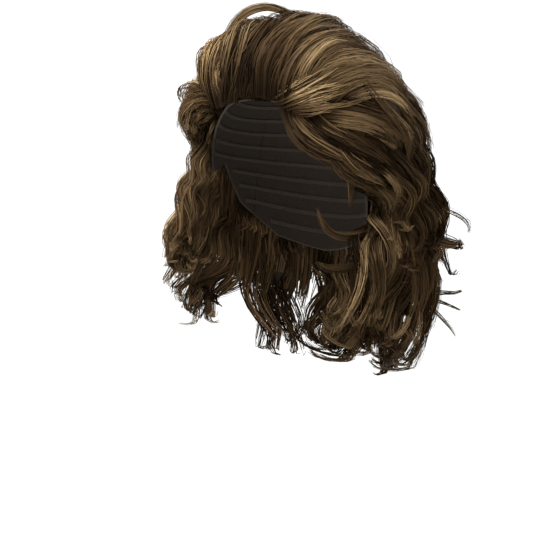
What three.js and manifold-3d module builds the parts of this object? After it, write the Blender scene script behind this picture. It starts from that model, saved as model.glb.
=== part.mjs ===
// A long, layered and wavy wig: a thin cap sewn from five panels, with five dressed masses of hair on it.
// Millimetres, +Z up. The wig's open front is along -Y and its left side along +X.
// The origin is the inside of the cap at its highest point, where the wig sits on the head.
import * as THREE from "three";
import { mergeVertices } from "three/addons/utils/BufferGeometryUtils.js";
import Module from "manifold-3d";

const wasm = await Module();
wasm.setup();

// Driving dimensions
const HEAD = { half_width: 78, front: 95, back: 100, top: 105, below: 140 }; // from the head's middle
const CAP_WALL = 2; // stretch fabric of the cap
const GAP = 0.8; // between one piece and the next
const FACET_SAG = 1; // how far the flats of the head's space fall inside its curve
const ROOT_DEPTH = 15; // hair packed upright over the cap, which every lock grows from
const BARE_EDGE = 2; // degrees of the cap's edge without hair
const MM_PER_DEGREE = 1.5; // about how far a degree reaches along the head
const SMALLEST_DETAIL = 0.3; // slivers that the cuts leave are flattened to this
const TIP_FULLNESS = 0.35; // of a lock's own width
const ROOT_PHASE = 0.22; // where on its swell a lock starts, 0.5 being the fullest

// How finely the curved forms are faceted
const ROOT_FACETS = { round: 14, part: 3, rows: 3 };
const HEAD_FACETS = { around: 24, lowest_el: -36, highest_el: 84, step: 12 };
const LOCK_FACETS = { sides: 5, plain_stations: 4, stations_per_wave: 1.9, fewest_stations: 5 };

// How far one lock may differ from its neighbours in a family
const LOCK_VARIATION = { tip_el: 2.5, bend_lift: 3 };

const CENTRE = new THREE.Vector3(0, 0, -HEAD.top);
const COLOURS = { cap: 0x1d1611, hair: 0x4a3a29 };

// Edge of the cap round the head: azimuth from the front, and elevation above the head's middle.
// Hairline, temple, sideburn tab, ear notch, behind the notch and nape, alike on both sides.
const CAP_EDGE = [
  { az: 0, el: 39 },
  { az: 35, el: 36 },
  { az: 58, el: 16 },
  { az: 72, el: -6 },
  { az: 90, el: 2 },
  { az: 112, el: -24 },
  { az: 145, el: -38 },
  { az: 180, el: -41 },
];

// Panels that the cap is sewn from, as patches of the head above the cap's edge, and their facets.
const CAP_PANELS = [
  { node: "cap_crown", az_from: -180, az_to: 180, el_from: 50, el_to: 90, columns: 18, rows: 3 },
  { node: "cap_front", az_from: -58, az_to: 58, el_from: 16, el_to: 50, columns: 8, rows: 2 },
  { node: "cap_left_side", az_from: 58, az_to: 125, el_from: -30, el_to: 50, columns: 5, rows: 4 },
  { node: "cap_right_side", az_from: -125, az_to: -58, el_from: -30, el_to: 50, columns: 5, rows: 4 },
  { node: "cap_nape", az_from: 125, az_to: 235, el_from: -42, el_to: 50, columns: 8, rows: 5 },
];

// The room below the cap that no hair enters: height over the head's middle,
// half width, and reach to the front and the back.
const HEAD_SPACE = [
  { z: -90, half_width: 64, front: 92, back: 80 },
  { z: -122, half_width: 59, front: 82, back: 70 },
  { z: -132, half_width: 57, front: 48, back: 70 },
  { z: -215, half_width: 63, front: 46, back: 78 },
];

// Packed roots of each mass of hair, as a patch of the cap.
const ROOT_PATCHES = [
  { node: "front_hair", az_from: -58, az_to: 50, el_from: 34, el_to: 58 },
  { node: "crown_hair", az_from: -180, az_to: 180, el_from: 58, el_to: 90 },
  { node: "left_side_hair", az_from: 50, az_to: 125, el_from: -30, el_to: 58 },
  { node: "right_side_hair", az_from: -125, az_to: -58, el_from: -30, el_to: 58 },
  { node: "nape_hair", az_from: 125, az_to: 235, el_from: -42, el_to: 58 },
];

// Families of locks. Each runs evenly from one lock to another. Directions are seen from the head's
// middle: azimuth and elevation of the root, the bend and the tip. Lifts are heights over the cap,
// wave is the swing of the curl, flip throws the tip outwards, and width and depth are half sizes.
const LOCK_COLUMNS = [
  "root_az", "root_el", "bend_az", "bend_el", "tip_az", "tip_el",
  "root_lift", "bend_lift", "tip_lift", "wave", "waves", "flip", "width", "depth",
];
const LOCK_FAMILIES = [
  // Swept up from the right of the forehead and back over the top
  { node: "front_hair", count: 4,
    from: [-56, 36, -70, 54, -114, 46, 5, 54, 48, 2, 1.0, 0, 25, 14],
    to: [-14, 40, -12, 65, -177, 42, 5, 37, 44, 2, 1.0, 0, 25, 14] },
  // Swept from the left of the forehead round the side
  { node: "front_hair", count: 4,
    from: [4, 40, 13, 66, 170, 40, 5, 41, 38, 2, 1.0, 0, 25, 14],
    to: [46, 36, 76, 46, 118, 18, 5, 38, 42, 2, 1.0, 0, 23, 13] },
  // Low roll along the hairline
  { node: "front_hair", count: 5,
    from: [-50, 38, -56, 48, -64, 62, 5, 24, 40, 1, 0.5, 0, 22, 12],
    to: [38, 39, 46, 49, 60, 60, 5, 24, 34, 1, 0.5, 0, 22, 12] },
  // Loop that stands clear of the top
  { node: "front_hair", count: 1,
    from: [-62, 48, -62, 70, -30, 87, 5, 65, 40, 0, 0, 0, 6, 5],
    to: [-62, 48, -62, 70, -30, 87, 5, 65, 40, 0, 0, 0, 6, 5] },
  // Crown, falling to the back and both sides
  { node: "crown_hair", count: 8,
    from: [70, 68, 84, 36, 96, -4, 5, 40, 40, 4, 0.9, 0, 35, 14],
    to: [290, 68, 276, 36, 264, -4, 5, 40, 40, 4, 0.9, 0, 35, 14] },
  // Top of the crown, over the roots of the layer below
  { node: "crown_hair", count: 4,
    from: [60, 80, 104, 58, 116, 16, 5, 40, 45, 2, 0.8, 0, 34, 12],
    to: [300, 80, 256, 58, 244, 16, 5, 40, 45, 2, 0.8, 0, 34, 12] },
  // Left side: swept back over the temple to the ear notch
  { node: "left_side_hair", count: 3,
    from: [46, 38, 66, 32, 100, 16, 5, 34, 42, 2, 0.8, 0, 21, 12],
    to: [52, 26, 64, 4, 92, -6, 5, 22, 34, 2, 0.8, 0, 18, 11] },
  // Behind the left ear notch, down and then forwards
  { node: "left_side_hair", count: 4,
    from: [94, 14, 90, -22, 72, -65, 5, 28, 24, 9, 2.2, 8, 24, 15],
    to: [122, 18, 118, -20, 104, -66, 5, 42, 46, 9, 2.2, 18, 29, 17] },
  // Outer layer over them, with tips thrown outwards
  { node: "left_side_hair", count: 4,
    from: [84, 40, 92, 4, 96, -46, 5, 42, 44, 8, 1.5, 16, 24, 13],
    to: [122, 40, 124, 4, 120, -52, 5, 46, 52, 8, 1.5, 28, 26, 14] },
  // Sideburn, and hooked wisps that curl forwards below it
  { node: "left_side_hair", count: 1,
    from: [66, 8, 71, -10, 73, -24, 8, 8, 6, 0, 0, 0, 6, 3],
    to: [66, 8, 71, -10, 73, -24, 8, 8, 6, 0, 0, 0, 6, 3] },
  { node: "left_side_hair", count: 2,
    from: [98, -28, 60, -37, 50, -22.5, 26, 12, 12, 0, 0, 0, 5, 4],
    to: [92, -44, 62, -49, 48, -45, 26, 14, 14, 0, 0, 0, 5, 4] },
  // Right side: a rounded wing at the temple
  { node: "right_side_hair", count: 4,
    from: [-58, 40, -62, 30, -68, 8, 5, 36, 20, 2, 0.8, 0, 23, 13],
    to: [-114, 40, -112, 22, -108, -6, 5, 42, 38, 3, 0.8, 4, 27, 13] },
  // A curtain at the front of the right side
  { node: "right_side_hair", count: 4,
    from: [-66, 12, -66, -18, -68, -54, 5, 18, 18, 5, 1.4, 10, 22, 11],
    to: [-120, 18, -118, -20, -112, -62, 5, 40, 36, 9, 1.8, 16, 30, 15] },
  // Long layers behind, down to the shoulders
  { node: "nape_hair", count: 5,
    from: [132, 16, 132, -16, 130, -52, 5, 44, 46, 9, 1.8, 22, 34, 15],
    to: [228, 16, 228, -16, 230, -52, 5, 44, 46, 9, 1.8, 22, 34, 15] },
  { node: "nape_hair", count: 5,
    from: [130, -22, 126, -42, 114, -63, 5, 20, 30, 8, 1.3, 14, 36, 15],
    to: [230, -22, 234, -42, 246, -63, 5, 20, 30, 8, 1.3, 14, 36, 15] },
  // Flicks thrown out at the left: one that bends round, and a thicker one under it
  { node: "left_side_hair", count: 1,
    from: [120, -12, 120, -20, 120, -33, 48, 96, 96, 0, 0, 0, 4, 4],
    to: [120, -12, 120, -20, 120, -33, 48, 96, 96, 0, 0, 0, 4, 4] },
  { node: "left_side_hair", count: 1,
    from: [118, -30, 120, -34, 120, -35, 46, 77, 97, 0, 0, 0, 10, 7],
    to: [118, -30, 120, -34, 120, -35, 46, 77, 97, 0, 0, 0, 10, 7] },
];

// A repeatable number from -1 to 1, so that no two locks are alike
function vary(lock, use) {
  const value = Math.sin(lock * 12.9898 + use * 78.233) * 43758.5453;
  return 2 * (value - Math.floor(value)) - 1;
}

const radians = THREE.MathUtils.degToRad;
const mix = THREE.MathUtils.lerp;

function direction(az, el) {
  const a = radians(az);
  const e = radians(el);
  return new THREE.Vector3(Math.sin(a) * Math.cos(e), -Math.cos(a) * Math.cos(e), Math.sin(e));
}

function alongTable(rows, key, at, column) {
  const last = rows.findIndex((row) => row[key] >= at);
  if (last <= 0) return rows[0][column];
  const [low, high] = [rows[last - 1], rows[last]];
  return mix(low[column], high[column], (at - low[key]) / (high[key] - low[key]));
}

function capEdge(az) {
  const turned = Math.abs(((az + 540) % 360) - 180);
  return alongTable(CAP_EDGE, "az", turned, "el");
}

// The head's surface in a direction from its middle, and the way out of it there. Hair that hangs
// goes straight down below the head's middle, where the head itself draws in.
function onHead(u, lift, hangs) {
  const depth = u.y < 0 ? HEAD.front : HEAD.back;
  const height = u.z > 0 ? HEAD.top : HEAD.below;
  const flat = hangs && u.z < 0;
  const out = new THREE.Vector3(
    u.x / HEAD.half_width ** 2,
    u.y / depth ** 2,
    flat ? 0 : u.z / height ** 2,
  );
  const reach = 1 / Math.sqrt(out.dot(u));
  const normal = out.normalize();
  return { point: u.clone().multiplyScalar(reach).addScaledVector(normal, lift).add(CENTRE), normal };
}

// A closed solid from rows of points: faces between neighbours, with the vertices that meet merged
function solidFromFaces(points, faces) {
  const geometry = new THREE.BufferGeometry();
  const coordinates = points.flatMap((point) => point.toArray());
  geometry.setAttribute("position", new THREE.Float32BufferAttribute(coordinates, 3));
  geometry.setIndex(faces.flat());
  const merged = mergeVertices(geometry, 1e-3);
  const index = [];
  for (let i = 0; i < merged.index.count; i += 3) {
    const [a, b, c] = [0, 1, 2].map((k) => merged.index.getX(i + k));
    if (a !== b && b !== c && a !== c) index.push(a, b, c);
  }
  return new wasm.Manifold(
    new wasm.Mesh({
      numProp: 3,
      vertProperties: merged.attributes.position.array,
      triVerts: new Uint32Array(index),
    }),
  );
}

// A wall over a patch of the head, between two surfaces given as functions of a direction.
// A patch that goes all the way round has no side walls.
function wallPatch({ az_from, az_to, el_from, el_to }, inner, outer, columns, rows) {
  const round = az_to - az_from >= 360;
  const points = [];
  const faces = [];
  for (const surface of [inner, outer]) {
    for (let i = 0; i <= columns; i++) {
      const az = mix(az_from, az_to, i / columns);
      const low = el_from(az);
      for (let j = 0; j <= rows; j++) points.push(surface(direction(az, mix(low, el_to, j / rows))));
    }
  }
  const at = (side, i, j) => (side * (columns + 1) + i) * (rows + 1) + j;
  const quad = (a, b, c, d) => faces.push([a, b, c], [a, c, d]);
  for (let i = 0; i < columns; i++) {
    for (let j = 0; j < rows; j++) {
      quad(at(1, i, j), at(1, i + 1, j), at(1, i + 1, j + 1), at(1, i, j + 1));
      quad(at(0, i, j), at(0, i, j + 1), at(0, i + 1, j + 1), at(0, i + 1, j));
    }
    quad(at(0, i, 0), at(0, i + 1, 0), at(1, i + 1, 0), at(1, i, 0));
    if (el_to < 90) quad(at(1, i, rows), at(1, i + 1, rows), at(0, i + 1, rows), at(0, i, rows));
  }
  for (let j = 0; j < rows && !round; j++) {
    quad(at(0, 0, j), at(1, 0, j), at(1, 0, j + 1), at(0, 0, j + 1));
    quad(at(1, columns, j), at(0, columns, j), at(0, columns, j + 1), at(1, columns, j + 1));
  }
  return solidFromFaces(points, faces);
}

// A closed tube through rings of points, with a point in the middle of each end
function tubeThrough(rings) {
  const sides = rings[0].length;
  const points = rings.flat();
  const faces = [];
  for (let r = 0; r + 1 < rings.length; r++) {
    for (let k = 0; k < sides; k++) {
      const [a, b] = [r * sides + k, r * sides + ((k + 1) % sides)];
      faces.push([a, b, b + sides], [a, b + sides, a + sides]);
    }
  }
  const middle = (ring) => ring.reduce((sum, p) => sum.add(p), new THREE.Vector3()).divideScalar(sides);
  const first = points.push(middle(rings[0])) - 1;
  const last = points.push(middle(rings.at(-1))) - 1;
  const start = (rings.length - 1) * sides;
  for (let k = 0; k < sides; k++) {
    faces.push([first, (k + 1) % sides, k], [last, start + k, start + ((k + 1) % sides)]);
  }
  return solidFromFaces(points, faces);
}

// The quadratic through three values at the start, the middle and the end
function through(start, middle, end, t) {
  return start * (1 - t) * (1 - 2 * t) + middle * 4 * t * (1 - t) + end * t * (2 * t - 1);
}

// Every lock, as its named columns
function allLocks() {
  const locks = [];
  for (const family of LOCK_FAMILIES) {
    for (let i = 0; i < family.count; i++) {
      const share = family.count > 1 ? i / (family.count - 1) : 0;
      const lock = { node: family.node, number: locks.length };
      LOCK_COLUMNS.forEach((column, c) => (lock[column] = mix(family.from[c], family.to[c], share)));
      lock.tip_el += LOCK_VARIATION.tip_el * vary(lock.number, 1);
      lock.bend_lift += LOCK_VARIATION.bend_lift * vary(lock.number, 2);
      lock.phase = Math.PI * vary(lock.number, 3);
      locks.push(lock);
    }
  }
  return locks;
}

// The middle line of a lock at t from 0 to 1, with the way out of the hair and the way across it
function lockFrame(lock, t) {
  const root = direction(lock.root_az, lock.root_el);
  const bend = direction(lock.bend_az, lock.bend_el);
  const tip = direction(lock.tip_az, lock.tip_el);
  const at = (s) => {
    const u = new THREE.Vector3(
      through(root.x, bend.x, tip.x, s),
      through(root.y, bend.y, tip.y, s),
      through(root.z, bend.z, tip.z, s),
    ).normalize();
    const lift = through(lock.root_lift, lock.bend_lift, lock.tip_lift, s) + lock.flip * s ** 4;
    return onHead(u, lift, true);
  };
  const step = 0.01;
  const { point, normal } = at(t);
  const tangent = at(Math.min(t + step, 1)).point.sub(at(Math.max(t - step, 0)).point).normalize();
  const across = new THREE.Vector3().crossVectors(normal, tangent).normalize();
  const out = new THREE.Vector3().crossVectors(tangent, across);
  const turn = 2 * Math.PI * lock.waves * t + lock.phase;
  const swing = lock.wave * t;
  point.addScaledVector(across, swing * Math.sin(turn)).addScaledVector(out, 0.5 * swing * Math.cos(turn));
  return { point, across, out };
}

// How full a lock is along its length: gathered at the root and drawn in at the tip
function fullness(t) {
  const swell = Math.sin(Math.PI * mix(ROOT_PHASE, 1, t)) ** 0.5;
  return mix(TIP_FULLNESS, 1, swell);
}

// One lock as a tube of ellipses, grown by a margin all round and past both ends
function lockSolid(lock, grow) {
  const rings = [];
  const { sides, plain_stations, stations_per_wave, fewest_stations } = LOCK_FACETS;
  const wanted = Math.round(plain_stations + stations_per_wave * lock.waves);
  const stations = Math.max(fewest_stations, wanted);
  const margin = grow / Math.cos(Math.PI / sides); // so that the flats of a ring move out by all of it
  for (let s = 0; s < stations; s++) {
    const t = s / (stations - 1);
    const { point, across, out } = lockFrame(lock, t);
    const along = new THREE.Vector3().crossVectors(across, out);
    if (s === 0) point.addScaledVector(along, -grow);
    if (s === stations - 1) point.addScaledVector(along, grow);
    const ring = [];
    for (let k = 0; k < sides; k++) {
      const a = (2 * Math.PI * k) / sides;
      ring.push(
        point
          .clone()
          .addScaledVector(across, (lock.width * fullness(t) + margin) * Math.cos(a))
          .addScaledVector(out, (lock.depth * fullness(t) + margin) * Math.sin(a)),
      );
    }
    rings.push(ring);
  }
  return tubeThrough(rings);
}

// A patch of the head grown by a margin, or drawn in by one below zero, but never below its lowest edge
function grownPatch(patch, grow, lowest) {
  const round = patch.az_to - patch.az_from >= 360;
  const turn = grow / MM_PER_DEGREE;
  return {
    az_from: round ? patch.az_from : patch.az_from - turn,
    az_to: round ? patch.az_to : patch.az_to + turn,
    el_from: (az) => Math.max(patch.el_from - turn, lowest(az)),
    el_to: patch.el_to < 90 ? patch.el_to + turn : 90,
  };
}

// One panel of the cap, half a gap short of the seams on its sides
function capPanel(panel) {
  return wallPatch(
    grownPatch(panel, -GAP / 2, capEdge),
    (u) => onHead(u, 0, false).point,
    (u) => onHead(u, CAP_WALL, false).point,
    panel.columns,
    panel.rows,
  );
}

// The packed roots of a mass. They stop short of the cap's edge, and reach into the head's space,
// which is then cut out of them.
function rootPatch(patch, grow) {
  const round = patch.az_to - patch.az_from >= 360;
  return wallPatch(
    grownPatch(patch, grow, (az) => capEdge(az) + BARE_EDGE - grow / MM_PER_DEGREE),
    (u) => onHead(u, -CAP_WALL, false).point,
    (u) => onHead(u, CAP_WALL + ROOT_DEPTH + grow, true).point,
    round ? ROOT_FACETS.round : ROOT_FACETS.part,
    ROOT_FACETS.rows,
  );
}

// The space that the head and neck need, from the outside of the cap down
function headSpace() {
  const { around, lowest_el, highest_el, step } = HEAD_FACETS;
  const clear = CAP_WALL + GAP + FACET_SAG;
  const rings = [];
  const ring = (z, half_width, front, back) => {
    const points = [];
    for (let k = 0; k < around; k++) {
      const a = (2 * Math.PI * k) / around;
      const y = Math.cos(a) * (Math.cos(a) < 0 ? front : back);
      points.push(new THREE.Vector3(half_width * Math.sin(a), y, z).add(CENTRE));
    }
    rings.push(points);
  };
  for (const { z, half_width, front, back } of [...HEAD_SPACE].reverse()) {
    ring(z, half_width, front, back);
  }
  for (let el = lowest_el; el <= highest_el; el += step) {
    const [level, height] = [Math.cos(radians(el)), Math.sin(radians(el))];
    ring(
      (clear + (el < 0 ? HEAD.below : HEAD.top)) * height,
      (HEAD.half_width + clear) * level,
      (HEAD.front + clear) * level,
      (HEAD.back + clear) * level,
    );
  }
  return tubeThrough(rings.map((points) => points.reverse()));
}

// One mass of hair: its packed roots with its locks fused to them
function hairMass(node, grow) {
  const parts = [
    ...ROOT_PATCHES.filter((patch) => patch.node === node).map((patch) => rootPatch(patch, grow)),
    ...LOCKS.filter((lock) => lock.node === node).map((lock) => lockSolid(lock, grow)),
  ];
  return wasm.Manifold.union(parts);
}

function meshOf(name, solid, colour) {
  const { vertProperties, triVerts } = solid.getMesh();
  const geometry = new THREE.BufferGeometry();
  geometry.setAttribute("position", new THREE.BufferAttribute(vertProperties, 3));
  geometry.setIndex(new THREE.BufferAttribute(triVerts, 1));
  geometry.computeVertexNormals();
  const material = new THREE.MeshStandardMaterial({ color: colour, roughness: 0.55, metalness: 0 });
  const mesh = new THREE.Mesh(geometry, material);
  mesh.name = name;
  return mesh;
}

const LOCKS = allLocks();
const wig = new THREE.Group();
wig.name = "wig";

for (const panel of CAP_PANELS) wig.add(meshOf(panel.node, capPanel(panel), COLOURS.cap));

// The upper masses lie over the lower ones, so each is cut clear of those above it. Of the shells
// that are left the largest is the mass, and the others are crumbs and sealed pockets between locks.
const inside = headSpace();
const above = [];
for (const { node } of ROOT_PATCHES) {
  let solid = hairMass(node, 0).subtract(inside);
  for (const upper of above) solid = solid.subtract(upper);
  const shells = solid.simplify(SMALLEST_DETAIL).decompose();
  const [whole] = shells.sort((a, b) => b.volume() - a.volume());
  wig.add(meshOf(node, whole, COLOURS.hair));
  above.push(hairMass(node, GAP));
}

export default wig;
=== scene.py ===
# The looks of a long, layered and wavy wig: strands of hair along every lock, over a thin cap.
# The hair's form comes from the same tables as the solids. Tables are in millimetres, with +Z up,
# the wig's open front along -Y and its left side along +X, and everything made is in metres.
import math

import bmesh
import bpy
import numpy as np
from mathutils import Matrix, Vector


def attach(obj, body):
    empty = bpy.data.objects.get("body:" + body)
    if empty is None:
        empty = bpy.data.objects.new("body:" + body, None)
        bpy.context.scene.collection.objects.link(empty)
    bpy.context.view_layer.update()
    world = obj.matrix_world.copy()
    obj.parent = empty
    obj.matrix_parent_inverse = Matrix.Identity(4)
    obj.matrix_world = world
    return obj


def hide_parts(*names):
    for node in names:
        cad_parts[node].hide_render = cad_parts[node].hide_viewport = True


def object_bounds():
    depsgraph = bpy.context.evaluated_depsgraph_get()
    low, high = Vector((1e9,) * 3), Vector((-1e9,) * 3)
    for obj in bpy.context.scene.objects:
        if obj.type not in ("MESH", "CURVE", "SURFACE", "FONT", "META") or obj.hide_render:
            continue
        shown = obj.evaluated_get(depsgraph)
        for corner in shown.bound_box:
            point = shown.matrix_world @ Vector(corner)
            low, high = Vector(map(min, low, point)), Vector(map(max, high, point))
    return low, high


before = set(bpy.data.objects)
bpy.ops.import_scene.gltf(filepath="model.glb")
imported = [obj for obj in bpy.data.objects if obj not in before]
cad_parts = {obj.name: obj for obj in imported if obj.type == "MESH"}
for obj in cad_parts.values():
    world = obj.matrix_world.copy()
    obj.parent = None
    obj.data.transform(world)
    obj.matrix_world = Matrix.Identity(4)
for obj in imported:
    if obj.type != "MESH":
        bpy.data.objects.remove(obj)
cad_low, cad_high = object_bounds()

MM = 0.001
MERGE = 1e-6  # points of a panel that meet are joined
SEED = 1974

# The photograph's camera, in degrees and millimetres
CAMERA_AZIMUTH = 30.0
CAMERA_ROLL = 6.0
CAMERA_DISTANCE = 2000.0
FRAME_WIDTH = 550.0  # across the picture, at the head's middle
HEAD_IN_FRAME = (17.0, 104.0)  # the head's middle, right of and above the picture's middle
SENSOR = 36.0

# Head and cap, as in the solids
HEAD = {"half_width": 78.0, "front": 95.0, "back": 100.0, "top": 105.0, "below": 140.0}
CENTRE = np.array([0.0, 0.0, -HEAD["top"]])
CAP_WALL = 2.0
SEAM = 0.27  # degrees that each panel of the cap stops short of a seam
TIP_FULLNESS = 0.35  # of a lock's own width, in the solids
ROOT_PHASE = 0.22  # of half a turn, where a lock's swell starts at its root
FLIP_POWER = 4  # how late a tip is thrown outwards
SWING_OUT = 0.5  # a wave's size out of the hair, as a share of its size across
NOISE = (12.9898, 78.233, 43758.5453)
VARY_TIP, VARY_BEND, VARY_PHASE, VARY_CURL = 1, 2, 3, 4
CAP_EDGE_AZ = [0, 35, 58, 72, 90, 112, 145, 180]
CAP_EDGE_EL = [39, 36, 16, -6, 2, -24, -38, -41]
HAIR_CLEAR = 3.0  # strands stay this far off the inside of the cap

# Panels that the cap is sewn from: azimuth and elevation of their sides
CAP_PANELS = [
    {"node": "cap_crown", "az": (-180, 180), "el": (50, 90), "columns": 96, "rows": 14},
    {"node": "cap_front", "az": (-58, 58), "el": (16, 50), "columns": 40, "rows": 10},
    {"node": "cap_left_side", "az": (58, 125), "el": (-30, 50), "columns": 30, "rows": 16},
    {"node": "cap_right_side", "az": (-125, -58), "el": (-30, 50), "columns": 30, "rows": 16},
    {"node": "cap_nape", "az": (125, 235), "el": (-42, 50), "columns": 40, "rows": 20},
]

# Tapes inside the cap that the hair is sewn to, in level rows: elevations in degrees, and how far a
# row ends from the cap's edge. Their thickness is in millimetres.
TAPES = {"lowest": -31, "step": 9.5, "rows": 12, "half_width": 1.1, "margin": 3.0, "columns": 60}
TAPE_THICKNESS = 0.8
EDGE_SAMPLES = 721  # places along half of the cap's edge where a row may end

# The room below the cap that no hair enters: height over the head's middle, half width, front and back
NECK_Z = [-215, -132, -122, -90, -82]
NECK_HALF_WIDTH = [63, 57, 59, 64, 66]
NECK_FRONT = [46, 48, 82, 92, 80]
NECK_BACK = [78, 70, 70, 80, 83]

# How far one lock may differ from its neighbours in a family
LOCK_VARIATION = {"tip_el": 2.5, "bend_lift": 3.0}

# Families of locks, as in the solids. Each runs evenly from its first lock to its last, and a single
# lock has no last. A family may have a shade for each lock: below 1 the hair is darker, with longer
# dark roots. The low shades at the middle of the forehead are partly the hair's own dark roots and
# partly painted shade, where the hair rises steeply from the cap.
LOCK_COLUMNS = [
    "root_az", "root_el", "bend_az", "bend_el", "tip_az", "tip_el",
    "root_lift", "bend_lift", "tip_lift", "wave", "waves", "flip", "width", "depth",
]
LOCK_FAMILIES = [
    # Swept up from the right of the forehead and back over the top
    {"look": "swept", "node": "front_hair", "count": 4, "shade": (1.35, 1.5, 1.1, 0.6),
     "first": [-56, 36, -70, 54, -114, 46, 5, 54, 48, 2, 1.0, 0, 25, 14],
     "last": [-14, 40, -12, 65, -177, 42, 5, 37, 44, 2, 1.0, 0, 25, 14]},
    # Swept from the left of the forehead round the side
    {"look": "streaked", "node": "front_hair", "count": 4, "shade": (0.65, 1.0, 1.3, 1.3),
     "first": [4, 40, 13, 66, 170, 40, 5, 41, 38, 2, 1.0, 0, 25, 14],
     "last": [46, 36, 76, 46, 118, 18, 5, 38, 42, 2, 1.0, 0, 23, 13]},
    # Low roll along the hairline
    {"look": "hairline", "node": "front_hair", "count": 5, "shade": (1.5, 1.6, 0.1, 0.15, 0.5),
     "first": [-50, 38, -56, 48, -64, 62, 5, 24, 40, 1, 0.5, 0, 22, 12],
     "last": [38, 39, 46, 49, 60, 60, 5, 24, 34, 1, 0.5, 0, 22, 12]},
    # Loop that stands clear of the top
    {"look": "loop", "node": "front_hair", "count": 1,
     "first": [-62, 48, -62, 70, -30, 87, 5, 65, 40, 0, 0, 0, 6, 5]},
    # Crown, falling to the back and both sides
    {"look": "crown", "node": "crown_hair", "count": 8,
     "first": [70, 68, 84, 36, 96, -4, 5, 40, 40, 4, 0.9, 0, 35, 14],
     "last": [290, 68, 276, 36, 264, -4, 5, 40, 40, 4, 0.9, 0, 35, 14]},
    # Top of the crown, over the roots of the layer below
    {"look": "crown", "node": "crown_hair", "count": 4,
     "first": [60, 80, 104, 58, 116, 16, 5, 40, 45, 2, 0.8, 0, 34, 12],
     "last": [300, 80, 256, 58, 244, 16, 5, 40, 45, 2, 0.8, 0, 34, 12]},
    # Left side: swept back over the temple to the ear notch
    {"look": "temple", "node": "left_side_hair", "count": 3,
     "first": [46, 38, 66, 32, 100, 16, 5, 34, 42, 2, 0.8, 0, 21, 12],
     "last": [52, 26, 64, 4, 92, -6, 5, 22, 34, 2, 0.8, 0, 18, 11]},
    # Behind the left ear notch, down and then forwards
    {"look": "long", "node": "left_side_hair", "count": 4,
     "first": [94, 14, 90, -22, 72, -65, 5, 28, 24, 9, 2.2, 8, 24, 15],
     "last": [122, 18, 118, -20, 104, -66, 5, 42, 46, 9, 2.2, 18, 29, 17]},
    # Outer layer over them, with tips thrown outwards
    {"look": "flicked", "node": "left_side_hair", "count": 4,
     "first": [84, 40, 92, 4, 96, -46, 5, 42, 44, 8, 1.5, 16, 24, 13],
     "last": [122, 40, 124, 4, 120, -52, 5, 46, 52, 8, 1.5, 28, 26, 14]},
    # Sideburn, and hooked wisps that curl forwards below it
    {"look": "wisp", "node": "left_side_hair", "count": 1,
     "first": [66, 8, 71, -10, 73, -24, 8, 8, 6, 0, 0, 0, 6, 3]},
    {"look": "wisp", "node": "left_side_hair", "count": 2,
     "first": [98, -28, 60, -37, 50, -22.5, 26, 12, 12, 0, 0, 0, 5, 4],
     "last": [92, -44, 62, -49, 48, -45, 26, 14, 14, 0, 0, 0, 5, 4]},
    # Right side: a rounded wing at the temple
    {"look": "wing", "node": "right_side_hair", "count": 4,
     "first": [-58, 40, -62, 30, -68, 8, 5, 36, 20, 2, 0.8, 0, 23, 13],
     "last": [-114, 40, -112, 22, -108, -6, 5, 42, 38, 3, 0.8, 4, 27, 13]},
    # A curtain at the front of the right side
    {"look": "curtain", "node": "right_side_hair", "count": 4,
     "first": [-66, 12, -66, -18, -68, -54, 5, 18, 18, 5, 1.4, 10, 22, 11],
     "last": [-120, 18, -118, -20, -112, -62, 5, 40, 36, 9, 1.8, 16, 30, 15]},
    # Long layers behind, down to the shoulders
    {"look": "nape_outer", "node": "nape_hair", "count": 5,
     "first": [132, 16, 132, -16, 130, -52, 5, 44, 46, 9, 1.8, 22, 34, 15],
     "last": [228, 16, 228, -16, 230, -52, 5, 44, 46, 9, 1.8, 22, 34, 15]},
    {"look": "nape_under", "node": "nape_hair", "count": 5,
     "first": [130, -22, 126, -42, 114, -63, 5, 20, 30, 8, 1.3, 14, 36, 15],
     "last": [230, -22, 234, -42, 246, -63, 5, 20, 30, 8, 1.3, 14, 36, 15]},
    # Flicks thrown out at the left: one that bends round, and a thicker one under it
    {"look": "flick", "node": "left_side_hair", "count": 1,
     "first": [120, -12, 120, -20, 120, -33, 48, 96, 96, 0, 0, 0, 4, 4]},
    {"look": "thick_flick", "node": "left_side_hair", "count": 1,
     "first": [118, -30, 120, -34, 120, -35, 46, 77, 97, 0, 0, 0, 10, 7]},
]
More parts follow.
